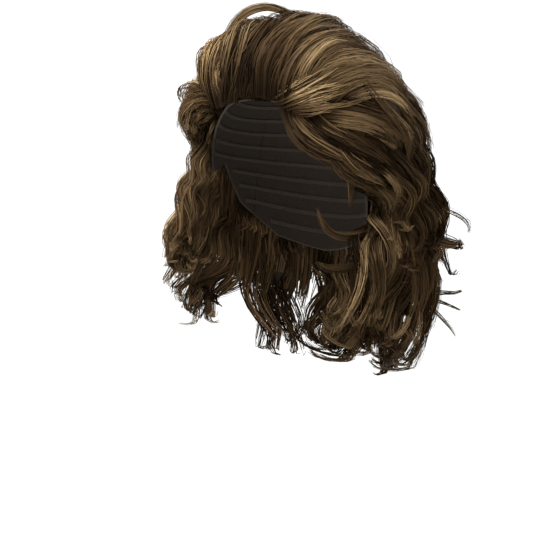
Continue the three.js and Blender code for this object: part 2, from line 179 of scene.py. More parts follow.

# Finer families that only the looks have: the roots that cover the cap, in rows that lie the
# way the hair is combed, hair that fills the room below the swept locks and the crown, fair streaks
# at the left of the forehead, thin flicks that stand out from both sides, a fringe that hangs
# over the left temple before it is swept back, and the top of the right wing
FINE_FAMILIES = [
    {"look": "cover", "node": "front_hair", "count": 7, "shade": (2.0, 2.0, 1.4, 0.8, 0.8, 1.0, 1.0),
     "first": [-56, 37, -58, 50, -62, 64, 4, 9, 10, 0, 0, 0, 22, 5],
     "last": [52, 37, 54, 50, 58, 64, 4, 9, 10, 0, 0, 0, 22, 5]},
    {"look": "cover", "node": "crown_hair", "count": 7,
     "first": [-60, 58, -90, 84, -120, 58, 4, 10, 10, 0, 0, 0, 26, 5],
     "last": [60, 58, -270, 84, -240, 58, 4, 10, 10, 0, 0, 0, 26, 5]},
    {"look": "cover", "node": "crown_hair", "count": 9,
     "first": [84, 64, 86, 46, 88, 26, 4, 10, 12, 0, 0, 0, 24, 5],
     "last": [276, 64, 274, 46, 272, 26, 4, 10, 12, 0, 0, 0, 24, 5]},
    {"look": "cover", "node": "nape_hair", "count": 10,
     "first": [84, 36, 86, 18, 88, -4, 4, 10, 12, 1, 1.0, 0, 24, 5],
     "last": [276, 36, 274, 18, 272, -4, 4, 10, 12, 1, 1.0, 0, 24, 5]},
    {"look": "cover", "node": "nape_hair", "count": 9,
     "first": [106, 8, 107, -12, 108, -36, 4, 10, 12, 1, 1.0, 0, 24, 5],
     "last": [254, 8, 253, -12, 252, -36, 4, 10, 12, 1, 1.0, 0, 24, 5]},
    {"look": "cover", "node": "nape_hair", "count": 7,
     "first": [124, -18, 124, -36, 124, -56, 4, 10, 12, 2, 1.0, 0, 26, 5],
     "last": [236, -18, 236, -36, 236, -56, 4, 10, 12, 2, 1.0, 0, 26, 5]},
    {"look": "cover", "node": "left_side_hair", "count": 4,
     "first": [52, 52, 66, 47, 88, 36, 4, 9, 12, 0, 0, 0, 20, 5],
     "last": [58, 22, 70, 14, 90, 6, 4, 9, 12, 0, 0, 0, 20, 5]},
    {"look": "cover", "node": "right_side_hair", "count": 4,
     "first": [-52, 52, -66, 47, -88, 36, 4, 9, 12, 0, 0, 0, 20, 5],
     "last": [-58, 22, -70, 14, -90, 6, 4, 9, 12, 0, 0, 0, 20, 5]},
    {"look": "filling", "node": "front_hair", "count": 3, "shade": (1.6, 1.8, 1.2),
     "first": [-46, 42, -60, 62, -120, 52, 4, 36, 34, 1, 0.6, 0, 26, 9],
     "last": [-10, 44, -14, 74, -176, 50, 4, 28, 32, 1, 0.6, 0, 26, 9]},
    {"look": "filling", "node": "front_hair", "count": 3,
     "first": [6, 44, 12, 74, 172, 50, 4, 30, 31, 1, 0.6, 0, 26, 9],
     "last": [38, 42, 60, 62, 126, 46, 4, 28, 30, 1, 0.6, 0, 26, 9]},
    {"look": "filling", "node": "crown_hair", "count": 5,
     "first": [100, 58, 106, 30, 108, -2, 4, 28, 32, 1, 0.8, 0, 32, 9],
     "last": [260, 58, 254, 30, 252, -2, 4, 28, 32, 1, 0.8, 0, 32, 9]},
    {"look": "streak", "node": "front_hair", "count": 5,
     "first": [25, 29, 42, 32, 66, 40, 16, 33, 46, 1, 0.5, 0, 6, 3],
     "last": [12, 38, 25, 43, 44, 55, 8, 34, 51, 1, 0.5, 0, 6, 3]},
    {"look": "flick", "node": "left_side_hair", "count": 3,
     "first": [119, -52.5, 120, -52, 120, -50.5, 64, 88, 104, 0, 0, 0, 3, 3],
     "last": [119, -54.5, 120, -57.5, 120, -59, 62, 82, 104, 0, 0, 0, 3, 3]},
    {"look": "flick", "node": "right_side_hair", "count": 2,
     "first": [-66, -44, -61, -52, -60, -55, 18, 29, 37, 0, 0, 0, 3, 3],
     "last": [-66, -46, -61, -53, -60, -56, 16, 25, 32, 0, 0, 0, 3, 3]},
    {"look": "fringe", "node": "left_side_hair", "count": 4,
     "first": [20, 37, 39, 12, 82, -1, 6, 14, 34, 1, 0.6, 0, 9, 5],
     "last": [38, 37, 54, 22, 92, 8, 6, 22, 38, 1, 0.6, 0, 9, 6]},
    {"look": "wing_top", "node": "right_side_hair", "count": 3,
     "first": [-56, 38, -64, 37, -82, 22, 5, 50, 40, 2, 0.8, 0, 9, 9],
     "last": [-62, 48, -82, 41, -108, 26, 5, 53, 42, 2, 0.8, 0, 9, 9]},
]

# How each kind of lock is dressed: wisps in a lock, strands in a wisp, flat pieces in a strand and
# its half width, ripples along a wisp, their size and how far they are out of step, stray movement,
# the share of the length that the dark of the roots takes, how fair the hair is, how much of that
# the tips lose, and the share of fair streaks.
LOOK_COLUMNS = [
    "wisps", "strands", "pieces", "half_width", "ripples", "ripple", "apart", "stray",
    "roots", "fair", "fade", "streaks",
]
LOOKS = {
    "swept": [22, 30, 11, 0.42, 1.2, 2.4, 1.6, 1.2, 0.65, 0.56, 0.55, 0.22],
    "streaked": [22, 30, 11, 0.42, 1.2, 2.4, 1.6, 1.2, 0.50, 0.46, 0.40, 0.28],
    "hairline": [16, 25, 9, 0.40, 0.8, 1.6, 1.6, 1.2, 0.80, 0.50, 0.0, 0.14],
    "loop": [8, 18, 16, 0.36, 0.5, 0.4, 0.4, 0.8, 0.15, 0.55, 0.3, 0.30],
    "streak": [6, 5, 12, 0.36, 0.8, 0.8, 1.0, 1.2, 0.40, 0.60, 0.2, 0.30],
    "crown": [16, 28, 13, 0.48, 2.0, 4.0, 0.5, 1.4, 0.20, 0.27, 0.0, 0.24],
    "temple": [18, 29, 11, 0.42, 1.4, 1.8, 1.2, 1.4, 0.30, 0.17, 0.0, 0.32],
    "wing": [18, 29, 11, 0.42, 1.4, 1.8, 1.2, 1.4, 0.30, 0.34, 0.0, 0.24],
    "long": [13, 36, 28, 0.48, 2.4, 8.5, 0.4, 1.1, 0.20, 0.20, 0.0, 0.14],
    "flicked": [13, 34, 26, 0.48, 2.2, 7.0, 0.4, 1.1, 0.20, 0.20, 0.0, 0.18],
    "curtain": [13, 34, 26, 0.46, 2.4, 5.0, 0.4, 1.1, 0.20, 0.34, 0.0, 0.18],
    "nape_outer": [13, 30, 22, 0.68, 2.2, 6.0, 0.4, 1.2, 0.20, 0.18, 0.0, 0.16],
    "nape_under": [12, 24, 22, 0.85, 2.2, 6.0, 0.4, 1.2, 0.20, 0.13, 0.0, 0.12],
    "cover": [8, 16, 6, 0.80, 1.0, 0.8, 0.5, 1.0, 0.30, 0.16, 0.0, 0.10],
    "filling": [10, 16, 8, 0.70, 1.0, 1.5, 1.0, 1.2, 0.30, 0.22, 0.0, 0.15],
    "fringe": [8, 13, 11, 0.50, 1.2, 1.6, 1.2, 1.2, 0.30, 0.11, 0.0, 0.18],
    "wing_top": [6, 14, 10, 0.48, 1.4, 1.8, 1.2, 1.4, 0.30, 0.40, 0.0, 0.24],
    "wisp": [1, 40, 16, 0.32, 0.5, 0.3, 0.4, 0.6, 0.10, 0.24, 0.0, 0.0],
    "flick": [1, 18, 14, 0.30, 0.5, 0.3, 0.4, 0.4, 0.10, 0.20, 0.0, 0.0],
    "thick_flick": [5, 36, 14, 0.32, 0.5, 0.3, 0.4, 0.4, 0.10, 0.32, 0.0, 0.0],
}

# How each kind of lock ends: degrees that the ends bend outwards, the share of wisps that end in a
# curl instead, the share of a wisp that curls, degrees that curls lean from outwards to forwards,
# how uneven the wisps are, how much shorter the strands of a wisp may be, how far the longest reach,
# fullness at the tip, and how much each wisp draws in there.
END_COLUMNS = ["bend", "curls", "curl", "lean", "uneven", "shorter", "reach", "tip", "drawn"]
ENDS = {
    "swept": [-12, 0.0, 0.1, 0, 0.30, 0.35, 1.0, 0.60, 0.3],
    "streaked": [-12, 0.0, 0.1, 0, 0.30, 0.35, 1.0, 0.60, 0.3],
    "hairline": [-10, 0.0, 0.1, 0, 0.25, 0.20, 1.0, 0.60, 0.4],
    "loop": [0, 0.0, 0.1, 0, 0.04, 0.05, 1.0, 0.60, 0.4],
    "streak": [-6, 0.0, 0.1, 0, 0.45, 0.30, 1.0, 0.50, 0.4],
    "crown": [4, 0.0, 0.1, 0, 0.40, 0.30, 1.0, 0.50, 0.5],
    "temple": [-8, 0.0, 0.1, 0, 0.32, 0.42, 1.0, 0.60, 0.5],
    "wing": [-10, 0.0, 0.1, 0, 0.32, 0.42, 1.0, 0.60, 0.5],
    "long": [20, 1.0, 0.28, 105, 0.14, 0.22, 1.20, 0.60, 0.4],
    "flicked": [20, 1.0, 0.26, 108, 0.14, 0.22, 1.12, 0.60, 0.4],
    "curtain": [20, 1.0, 0.26, 118, 0.14, 0.22, 1.14, 0.60, 0.4],
    "nape_outer": [15, 1.0, 0.24, 105, 0.14, 0.22, 1.12, 0.70, 0.4],
    "nape_under": [15, 1.0, 0.22, 95, 0.14, 0.22, 1.12, 0.75, 0.3],
    "cover": [0, 0.0, 0.1, 0, 0.20, 0.20, 1.0, 0.50, 0.4],
    "filling": [0, 0.0, 0.1, 0, 0.20, 0.20, 1.0, 0.50, 0.4],
    "fringe": [-8, 0.0, 0.1, 0, 0.30, 0.42, 1.0, 0.60, 0.5],
    "wing_top": [-8, 0.0, 0.1, 0, 0.32, 0.42, 1.0, 0.60, 0.5],
    "wisp": [0, 0.0, 0.1, 0, 0.02, 0.12, 1.0, 0.35, 0.4],
    "flick": [0, 0.0, 0.1, 0, 0.18, 0.09, 1.0, 0.20, 0.4],
    "thick_flick": [0, 0.0, 0.1, 0, 0.06, 0.25, 1.0, 0.05, 0.7],
}

# Meshes of strands: name, the solid that it stands for, and the kinds of lock in it
HAIR_PIECES = [
    ("front_strands", "front_hair",
     ("swept", "streaked", "hairline", "loop", "streak", "cover", "filling")),
    ("crown_strands", "crown_hair", ("crown", "cover", "filling")),
    ("left_side_strands", "left_side_hair", ("temple", "flicked", "cover", "flick", "thick_flick")),
    ("left_neck_strands", "left_side_hair", ("long", "wisp")),
    ("right_side_strands", "right_side_hair", ("wing", "curtain", "cover", "flick")),
    ("nape_strands", "nape_hair", ("nape_outer", "nape_under", "cover")),
    ("left_fringe_strands", "left_side_hair", ("fringe",)),
    ("right_wing_strands", "right_side_hair", ("wing_top",)),
]

# Wisps in a lock
WISP_TURN = 137.5  # degrees round the lock's middle from one wisp to the next
WISP_SHIFT = 0.4  # radians that a wisp may be off from that
WISP_REACH = 0.80  # how far the outermost wisps lie from a lock's middle
WISP_SPREAD = 1.30  # how much neighbouring wisps run into each other
FRAME_SAMPLES = 72  # points along a lock's middle line

# Ripples. The ranges go from wisp to wisp or from strand to strand.
RIPPLE_SIZES = (0.6, 1.4)
RIPPLE_COUNTS = (0.92, 1.08)
RIPPLE_GROWTH = (0.7, 0.6)  # size of the ripples at the root, and what is added towards the tip
RIPPLE_START = 0.3  # share of a strand over which its ripples set in
RIPPLE_OUT = 0.95  # their size out of the hair, as a share of their size across
RIPPLE_STEP = 0.18  # radians that the strands of a wisp are out of step
RIPPLE_STRANDS = (0.85, 1.15)

# Ends of wisps, in degrees where nothing else is said
CURL_DEGREES = (90, 190)
CURL_SPREAD = 20.0  # how far curls of a lock lean apart
BEND_SPREAD = 12.0  # for ends that are not curled
BEND_SHARE = 0.30  # of a wisp's length
BEND_STRANDS = (0.97, 1.03)  # from strand to strand, as a share
LEAST_BEND = 0.01  # radians

# Strands
STRAND_TURN = 24.0  # degrees that a strand may turn about its own length
STRAND_WIDTHS = (0.75, 1.25)
ROOT_WIDTH = (0.65, 2.0)  # share of a strand's width at its root, and how fast it widens
TIP_TAPER = (0.5, 5)  # share of its width that it loses at the tip, and how late
FACING_OUT = 0.7  # how far strands face out of the hair rather than out of their lock
STRAY_SHARE = 0.02  # strands that stand off from their wisp
STRAY_REACH = 4.0
STRAY_WAVES = ((1.3, 0.7), (3.1, 0.3))  # waves along a strand, and their share of the movement
STRAY_RATES = (0.7, 1.3)
STRAY_ROOT = 0.25  # share of the movement at the root

# Fairness
# The dark of the roots is partly the hair's own darker roots and partly painted shade where the hair
# rises from the cap
ROOT_DARKNESS = 0.05  # of a strand's fairness, at its root
FADE = (0.60, 0.40)  # where along a lock fair hair starts to fade, and over how much of it
SHADE_REACH = 1.2  # how far across a lock its neighbour's shade is reached
STREAKS = (0.15, 0.35)  # how much fairer a streak is than the rest
WISP_FAIRNESS = 0.06  # spread from wisp to wisp
STRAND_FAIRNESS = 0.09  # spread from strand to strand

# The body inside a lock, coloured darker than its strands: painted shade in the depth of the hair
CORE_SHARE = 0.52  # of the lock's size
CORE_END = 0.72  # how far along the lock it goes
CORE_TIP = (3.0, 0.01)  # how fast it rounds off there, and how far past its last ring it would close
CORE_THINNEST = 10.0  # locks narrower than this have none
CORE_SIDES = 10
CORE_STATIONS = 14

SHARP_ANGLE = 40.0  # degrees between faces of the cap that meet in an edge

# Each strand's place in the baked picture: how much longer than wide it is, and the bare shares at
# its sides and ends
MAP_SHAPE = 8
MAP_MARGINS = (0.15, 0.06)

# Colours, linear, from the darkest roots, dark partly with painted shade, to the fairest streaks
HAIR_COLOURS = [
    (0.00, (0.008, 0.005, 0.003)),
    (0.35, (0.060, 0.036, 0.017)),
    (0.65, (0.150, 0.098, 0.048)),
    (1.00, (0.380, 0.265, 0.135)),
]
SHEEN_COLOUR = (0.95, 0.68, 0.42)
HAIR_GLOSS = (0.0, 0.07)  # of the darkest hair and the fairest
CAP_COLOURS = ((0.026, 0.018, 0.012), (0.011, 0.008, 0.006))
TAPE_COLOURS = ((0.046, 0.033, 0.023), (0.022, 0.016, 0.011))
FLOOR_COLOUR = (0.97, 0.97, 0.96)
ROUGHNESS = {"hair": 0.5, "depth": 0.7, "cap": 0.8, "floor": 0.9}
GLOSS = {"depth": 0.1, "cap": 0.2}
# These streaks darken the inside of the hair unevenly, as painted shade
DEPTH_STREAKS = (420, 420, 40)  # streaks to a metre across the fall and along it
KNIT_SCALE = 900.0  # stitches to a metre
KNIT_BUMP = {"Distance": 0.0004, "Strength": 0.5}

# Floor and light, in metres, degrees and watts
FLOOR_BELOW = 0.30  # from the lowest hair to the floor
FLOOR_RADIUS = 30.0
FLOOR_SIDES = 96
SKY_STRENGTH = 1.12
LIGHTS = [
    {"name": "key", "azimuth": -30, "elevation": 45, "distance": 2.2, "size": 0.9, "power": 108},
    {"name": "rim", "azimuth": 165, "elevation": 55, "distance": 2.2, "size": 0.8, "power": 8},
]

rng = np.random.default_rng(SEED)


def vary(lock, use):
    """A repeatable number from -1 to 1, the same as in the solids."""
    value = math.sin(lock * NOISE[0] + use * NOISE[1]) * NOISE[2]
    return 2 * (value - math.floor(value)) - 1


def unit(vectors):
    return vectors / np.maximum(np.linalg.norm(vectors, axis=-1, keepdims=True), 1e-9)


def smooth(x):
    x = np.clip(x, 0, 1)
    return x * x * (3 - 2 * x)


def direction(az, el):
    a, e = np.radians(az), np.radians(el)
    return np.stack([np.sin(a) * np.cos(e), -np.cos(a) * np.cos(e), np.sin(e)], axis=-1)


def cap_edge(az):
    return np.interp(np.abs((az + 180) % 360 - 180), CAP_EDGE_AZ, CAP_EDGE_EL)


def on_head(u, lift, hangs=True):
    """The head's surface in a direction from its middle, raised by a lift, and the way out of it."""
    depth = np.where(u[..., 1] < 0, HEAD["front"], HEAD["back"])
    height = np.where(u[..., 2] > 0, HEAD["top"], HEAD["below"])
    rise = u[..., 2] / height**2
    if hangs:
        rise = np.where(u[..., 2] < 0, 0, rise)
    out = np.stack([u[..., 0] / HEAD["half_width"] ** 2, u[..., 1] / depth**2, rise], axis=-1)
    reach = 1 / np.sqrt((out * u).sum(-1))
    normal = unit(out)
    point = u * reach[..., None] + normal * np.asarray(lift)[..., None] + CENTRE
    return point, normal


def out_of_head(points):
    """Points moved out of the cap and of the room inside the wig that no hair enters."""
    p = points - CENTRE
    x, y, z = p[..., 0], p[..., 1], p[..., 2]
    depth = np.where(y < 0, HEAD["front"], HEAD["back"]) + HAIR_CLEAR
    height = np.where(z > 0, HEAD["top"], HEAD["below"]) + HAIR_CLEAR
    width = HEAD["half_width"] + HAIR_CLEAR
    inside = np.sqrt((x / width) ** 2 + (y / depth) ** 2 + (z / height) ** 2)
    round_head = p / np.minimum(inside, 1)[..., None]
    neck_width = np.interp(z, NECK_Z, NECK_HALF_WIDTH)
    neck_depth = np.where(y < 0, np.interp(z, NECK_Z, NECK_FRONT), np.interp(z, NECK_Z, NECK_BACK))
    level = np.minimum(np.sqrt((x / neck_width) ** 2 + (y / neck_depth) ** 2), 1)
    round_neck = np.stack([x / level, y / level, z], axis=-1)
    return np.where((z > NECK_Z[-1])[..., None], round_head, round_neck) + CENTRE


def through(start, middle, end, t):
    """The quadratic through three values at the start, the middle and the end."""
    return start * (1 - t) * (1 - 2 * t) + middle * 4 * t * (1 - t) + end * t * (2 * t - 1)


def all_locks():
    locks = []
    for family in LOCK_FAMILIES + FINE_FAMILIES:
        for i in range(family["count"]):
            share = i / max(family["count"] - 1, 1)
            first, last = np.array(family["first"]), np.array(family.get("last", family["first"]))
            values = first * (1 - share) + last * share
            lock = dict(zip(LOCK_COLUMNS, values))
            lock["number"] = len(locks)
            lock["node"] = family["node"]
            lock["kind"] = family["look"]
            look = LOOKS[family["look"]] + ENDS[family["look"]]
            lock["look"] = dict(zip(LOOK_COLUMNS + END_COLUMNS, look))
            shades = family.get("shade", (1,) * family["count"])
            lock["shades"] = [shades[k] for k in (max(i - 1, 0), i, min(i + 1, len(shades) - 1))]
            lock["tip_el"] += LOCK_VARIATION["tip_el"] * vary(lock["number"], VARY_TIP)
            lock["bend_lift"] += LOCK_VARIATION["bend_lift"] * vary(lock["number"], VARY_BEND)
            lock["phase"] = math.pi * vary(lock["number"], VARY_PHASE)
            locks.append(lock)
    return locks


def lock_line(lock, t):
    """The middle line of a lock at each t, with the way across it and the way out of the hair."""
    root = direction(lock["root_az"], lock["root_el"])
    bend = direction(lock["bend_az"], lock["bend_el"])
    tip = direction(lock["tip_az"], lock["tip_el"])
    u = unit(through(root, bend, tip, t[:, None]))
    lift = through(lock["root_lift"], lock["bend_lift"], lock["tip_lift"], t)
    lift = lift + lock["flip"] * t**FLIP_POWER
    point, normal = on_head(u, lift)
    tangent = unit(np.gradient(point, axis=0))
    across = unit(np.cross(normal, tangent))
    out = np.cross(tangent, across)
    turn = 2 * np.pi * lock["waves"] * t + lock["phase"]
    swing = lock["wave"] * t
    aside = across * (swing * np.sin(turn))[:, None]
    outwards = out * (SWING_OUT * swing * np.cos(turn))[:, None]
    return point + aside + outwards, across, out


def fullness(t, tip):
    """How full a lock is along its length: gathered at the root and drawn in at the tip."""
    swell = np.sin(np.pi * np.clip(ROOT_PHASE + (1 - ROOT_PHASE) * t, 0, 1)) ** 0.5
    return tip + (1 - tip) * swell


def curl_side(lock):
    """Which way across a lock its curls lean: forwards at the sides, and either way behind."""
    if lock["node"] == "left_side_hair":
        return -1
    if lock["node"] == "right_side_hair":
        return 1
    return math.copysign(1, vary(lock["number"], VARY_CURL))


def wisps_of(lock):
    """Where each wisp lies in its lock, and how it differs from its neighbours."""
    look = lock["look"]
    count = int(look["wisps"])
    order = np.arange(count)
    turn = order * math.radians(WISP_TURN) + rng.uniform(-WISP_SHIFT, WISP_SHIFT, count)
    reach = WISP_REACH * np.sqrt((order + 0.5) / count) * (count > 1)
    streak = rng.random(count) < look["streaks"]
    curled = rng.random(count) < look["curls"]
    curl = rng.uniform(*CURL_DEGREES, count)
    lean = rng.normal(curl_side(lock) * look["lean"], CURL_SPREAD, count)
    bend = rng.normal(look["bend"], BEND_SPREAD, count)
    across = reach * np.cos(turn)
    shade = np.interp(-across, (-SHADE_REACH, 0, SHADE_REACH), lock["shades"])
    fair = shade * look["fair"] + rng.normal(0, WISP_FAIRNESS, count)
    return {
        "across": across,
        "out": reach * np.sin(turn),
        "radius": np.full(count, WISP_SPREAD / math.sqrt(count + 1)),
        "length": look["reach"] - look["uneven"] * rng.random(count),
        "ripple": look["ripple"] * rng.uniform(*RIPPLE_SIZES, count),
        "ripples": look["ripples"] * rng.uniform(*RIPPLE_COUNTS, count),
        "phase": lock["phase"] + rng.normal(0, look["apart"], count),
        "bend": np.radians(np.where(curled, curl, bend)),
        "tail": np.where(curled, look["curl"], BEND_SHARE),
        "lean": np.radians(lean),
        "shade": shade,
        "fair": fair + streak * rng.uniform(*STREAKS, count),
    }


def wander(reach, share, total):
    """A slow stray movement of each strand, in two directions, that grows towards its tip."""
    moves = []
    for way in range(2):
        move = 0
        for rate, part in STRAY_WAVES:
            rates = rate * rng.uniform(*STRAY_RATES, (total, 1))
            start = rng.uniform(0, 2 * np.pi, (total, 1))
            move = move + part * np.sin(2 * np.pi * rates * share + start)
        moves.append(reach * (STRAY_ROOT + (1 - STRAY_ROOT) * share) * move)
    return moves


def strands_of(lock):
    """Points, facing and fairness of every strand of a lock, as arrays of strand by station."""
    look = lock["look"]
    each = int(look["strands"])
    wisps = {key: np.repeat(values, each)[:, None] for key, values in wisps_of(lock).items()}
    total = len(wisps["fair"])

    grid = np.linspace(0, 1, FRAME_SAMPLES)
    line, line_across, line_out = lock_line(lock, grid)
    length = np.linalg.norm(np.diff(line, axis=0), axis=1).sum()
    share = np.linspace(0, 1, int(look["pieces"]) + 1)[None, :]
    part = share * (1 - look["shorter"] * rng.random((total, 1)) ** 2)
    t = part * wisps["length"]

    def along(values):
        return np.stack([np.interp(t, grid, values[:, k]) for k in range(3)], axis=-1)

    middle, across, out = along(line), unit(along(line_across)), unit(along(line_out))
    tangent = np.cross(across, out)
    middle = middle + tangent * (np.maximum(t - 1, 0) * length)[..., None]

    # Place in the lock's section
    angle = rng.uniform(0, 2 * np.pi, (total, 1))
    ring = wisps["radius"] * np.sqrt(rng.random((total, 1))) * (1 - look["drawn"] * part**2)
    aside = wisps["across"] + ring * np.cos(angle)
    above = wisps["out"] + ring * np.sin(angle)
    x = lock["width"] * fullness(t, look["tip"]) * aside
    y = lock["depth"] * fullness(t, look["tip"]) * above

    # Ripples that the wisp shares, and each strand's own movement
    turn = 2 * np.pi * wisps["ripples"] * t + wisps["phase"] + rng.normal(0, RIPPLE_STEP, (total, 1))
    growth = smooth(share / RIPPLE_START) * (RIPPLE_GROWTH[0] + RIPPLE_GROWTH[1] * share)
    ripple = wisps["ripple"] * growth * rng.uniform(*RIPPLE_STRANDS, (total, 1))
    loose = np.where(rng.random((total, 1)) < STRAY_SHARE, STRAY_REACH, look["stray"])
    stray_x, stray_y = wander(loose, share, total)
    x = x + ripple * np.sin(turn) + stray_x
    y = y + RIPPLE_OUT * ripple * np.cos(turn) + stray_y

    # The end of a wisp bends along an arc of its own length, which its strands share
    tail = wisps["tail"] * wisps["length"] * length
    into = np.clip((part - 1) / wisps["tail"] + 1, 0, 1)
    bend = wisps["bend"] * rng.uniform(*BEND_STRANDS, (total, 1))
    bend = np.where(np.abs(bend) < LEAST_BEND, LEAST_BEND, bend)
    rise = tail / bend * (1 - np.cos(bend * into))
    slip = tail / bend * np.sin(bend * into) - tail * into
    x = x + rise * np.sin(wisps["lean"])
    y = y + rise * np.cos(wisps["lean"])

    points = middle + across * x[..., None] + out * y[..., None] + tangent * slip[..., None]
    facing = unit(out * (FACING_OUT + above)[..., None] + across * aside[..., None])
    fair = wisps["fair"] + rng.normal(0, STRAND_FAIRNESS, (total, 1))
    # Dark roots: partly the hair's own and partly painted shade; a low shade makes them darker and
    # longer
    fair = fair * (ROOT_DARKNESS + (1 - ROOT_DARKNESS) * smooth(t * wisps["shade"] / look["roots"]))
    fair = fair * (1 - look["fade"] * smooth((t - FADE[0]) / FADE[1]))
    return out_of_head(points), facing, fair


def ribbons(points, facing, half_width):
    """Both edges of each strand: a flat ribbon turned a little about its own length. Its side is
    carried along from the root, so that a curl doesn't twist it."""
    total, stations = points.shape[:2]
    tangent = unit(np.gradient(points, axis=1))
    side = np.empty_like(points)
    side[:, 0] = unit(np.cross(tangent[:, 0], facing[:, 0]))
    for i in range(1, stations):
        held, ahead = side[:, i - 1], tangent[:, i]
        side[:, i] = unit(held - ahead * (held * ahead).sum(-1, keepdims=True))
    lifted = np.cross(side, tangent)
    turn = np.radians(rng.normal(0, STRAND_TURN, (total, 1)))[..., None]
    side = side * np.cos(turn) + lifted * np.sin(turn)
    share = np.linspace(0, 1, stations)
    taper = np.minimum(1, ROOT_WIDTH[0] + ROOT_WIDTH[1] * share)
    taper = taper * (1 - TIP_TAPER[0] * share ** TIP_TAPER[1])
    half = half_width * rng.uniform(*STRAND_WIDTHS, (total, 1)) * taper
    edge = side * half[..., None]
    return np.stack([points - edge, points + edge], axis=2)


def mesh_object(name, vertices, quads, material):
    """A mesh object from arrays of points, in millimetres, and of four-sided faces."""
    mesh = bpy.data.meshes.new(name)
    mesh.vertices.add(len(vertices))
    mesh.vertices.foreach_set("co", (vertices * MM).astype(np.float32).ravel())
    mesh.loops.add(quads.size)
    mesh.loops.foreach_set("vertex_index", quads.astype(np.int32).ravel())
    mesh.polygons.add(len(quads))
    mesh.polygons.foreach_set("loop_start", np.arange(0, quads.size, 4, dtype=np.int32))
    mesh.update(calc_edges=True)
    mesh.validate()
    mesh.polygons.foreach_set("use_smooth", np.ones(len(mesh.polygons), dtype=bool))
    mesh.materials.append(material)
    item = bpy.data.objects.new(name, mesh)
    bpy.context.scene.collection.objects.link(item)
    return item


def set_fairness(piece, values):
    fairness = piece.data.attributes.new("fairness", "FLOAT", "POINT")
    fairness.data.foreach_set("value", np.clip(values, 0, 1).astype(np.float32))


def strip_quads(stations):
    """The faces of one ribbon."""
    row = 2 * np.arange(stations - 1)
    return np.stack([row, row + 1, row + 3, row + 2], axis=1)


def strand_map(counts):
    """A small rectangle of the baked picture for each strand, so that each keeps its own colour."""
    total = len(counts)
    rows = max(1, int(math.sqrt(total / MAP_SHAPE)))
    columns = math.ceil(total / rows)
    places = []
    for i, stations in enumerate(counts):
        left, low = (i % columns) / columns, (i // columns) / rows
        u = left + np.array([MAP_MARGINS[0], 1 - MAP_MARGINS[0]]) / columns
        v = low + np.linspace(MAP_MARGINS[1], 1 - MAP_MARGINS[1], stations) / rows
        places.append(np.stack(np.meshgrid(u, v), axis=-1).reshape(-1, 2))
    return np.concatenate(places)


def hair_piece(name, locks, material):
    """All the strands of some locks, as one mesh."""
    vertices, quads, fair, counts = [], [], [], []
    first = 0
    for lock in locks:
        points, facing, tint = strands_of(lock)
        edges = ribbons(points, facing, lock["look"]["half_width"])
        total, stations = points.shape[:2]
        strip = strip_quads(stations)
        starts = first + 2 * stations * np.arange(total)
        quads.append((strip[None] + starts[:, None, None]).reshape(-1, 4))
        vertices.append(edges.reshape(-1, 3))
        fair.append(np.repeat(tint.ravel(), 2))
        counts += [stations] * total
        first += 2 * stations * total
    quads = np.concatenate(quads)
    piece = mesh_object(name, np.concatenate(vertices), quads, material)
    set_fairness(piece, np.concatenate(fair))
    places = piece.data.uv_layers.new(name="OFBake")
    places.data.foreach_set("uv", strand_map(counts)[quads.ravel()].astype(np.float32).ravel())
    return piece


def core_piece(name, locks, material):
    """The body of each lock, which the strands lie round, coloured darker as painted shade."""
    sides = CORE_SIDES
    vertices, quads, fair = [], [], []
    t = np.linspace(0, CORE_END, CORE_STATIONS)
    rounding = np.sqrt(np.clip(CORE_TIP[0] * (CORE_END + CORE_TIP[1] - t), 0, 1))
    angle = np.linspace(0, 2 * np.pi, sides, endpoint=False)
    station, side = np.meshgrid(np.arange(CORE_STATIONS - 1), np.arange(sides), indexing="ij")
    for lock in locks:
        line, across, out = lock_line(lock, t)
        size = CORE_SHARE * fullness(t, TIP_FULLNESS) * rounding
        x = lock["width"] * size[:, None] * np.cos(angle)
        y = lock["depth"] * size[:, None] * np.sin(angle)
        ring = line[:, None] + across[:, None] * x[..., None] + out[:, None] * y[..., None]
        row = sides * (CORE_STATIONS * len(vertices) + station)
        here, there = row + side, row + (side + 1) % sides
        quads.append(np.stack([here, there, there + sides, here + sides], axis=-1).reshape(-1, 4))
        vertices.append(out_of_head(ring).reshape(-1, 3))
        look, shade = lock["look"], lock["shades"][1]
        fair.append(np.repeat(shade * look["fair"] * smooth(t * shade / look["roots"]), sides))
    piece = mesh_object(name, np.concatenate(vertices), np.concatenate(quads), material)
    set_fairness(piece, np.concatenate(fair))
    return piece


def mend(piece, change):
    """Makes a change to a piece's mesh, and then sets which of its edges are sharp."""
    form = bmesh.new()
    form.from_mesh(piece.data)
    change(form)
    form.to_mesh(piece.data)
    form.free()
    piece.data.set_sharp_from_angle(angle=math.radians(SHARP_ANGLE))


